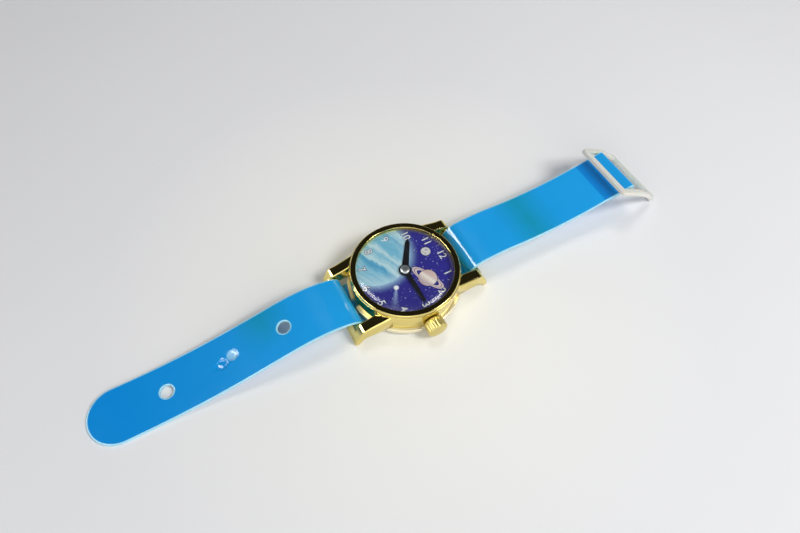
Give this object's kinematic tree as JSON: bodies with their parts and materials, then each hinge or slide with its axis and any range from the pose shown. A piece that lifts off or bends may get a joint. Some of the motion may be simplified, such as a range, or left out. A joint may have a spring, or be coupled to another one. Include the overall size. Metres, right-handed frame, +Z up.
{
  "type": "toy wristwatch",
  "caption": "Toy wristwatch with a gold plated round case, printed dial, crown that turns the hands, blue vinyl strap and slide buckle.",
  "frame": {"origin": "on the case axis, at the underside of the strap where it passes below the case back", "axes": "+Z up out of the dial, +Y to twelve o'clock and the buckle, +X to three o'clock and the crown"},
  "size_m": [0.0324, 0.1592, 0.0116],
  "materials": {
    "gold_plate": "gold metallised, polished",
    "clear_window": "clear, polished",
    "dial_print": "printed card",
    "black_enamel": "gloss black",
    "rivet_metal": "pressed, bright",
    "gear_plastic": "natural moulded",
    "blue_vinyl": "glossy translucent vinyl",
    "buckle_plastic": "translucent white, moulded"
  },
  "bodies": {
    "case": {"case_body": "gold_plate", "bezel": "gold_plate", "crystal": "clear_window", "dial_plate": "gear_plastic", "dial_card": "dial_print", "case_back": "gold_plate", "strap_under_case": "blue_vinyl"},
    "crown": {"crown": "gold_plate", "stem": "gear_plastic"},
    "hands": {"hand_wheel": "gear_plastic", "hour_hand": "black_enamel", "minute_hand": "black_enamel", "hub_rivet": "rivet_metal"},
    "hole_strap": {"strap_hole_end": "blue_vinyl"},
    "buckle_strap": {"strap_buckle_end": "blue_vinyl"},
    "buckle_frame": {"buckle": "buckle_plastic"}
  },
  "joints": [
    {"name": "crown_spin", "type": "hinge", "parent": "case", "child": "crown", "pos_m": [0, 0, 0.00319], "axis": [1, 0, 0], "continuous": true},
    {"name": "hands_turn", "type": "hinge", "parent": "case", "child": "hands", "pos_m": [0, 0, 0], "axis": [0, 0, 1], "continuous": true},
    {"name": "strap_hole_hinge", "type": "hinge", "parent": "case", "child": "hole_strap", "pos_m": [0, -0.0172, 0.0031], "axis": [1, 0, 0], "range_deg": [-10, 80], "stiffness_Nm_per_rad": 0.004},
    {"name": "strap_buckle_hinge", "type": "hinge", "parent": "case", "child": "buckle_strap", "pos_m": [0, 0.0172, 0.0031], "axis": [-1, 0, 0], "range_deg": [-10, 80], "stiffness_Nm_per_rad": 0.004},
    {"name": "buckle_hinge", "type": "hinge", "parent": "buckle_strap", "child": "buckle_frame", "pos_m": [0, 0.06722, 0.00832], "axis": [-1, 0, 0], "range_deg": [0, 75]}
  ],
  "couplings": [
    {"joint": "hands_turn", "follows": "crown_spin", "ratio": -0.33333}
  ]
}
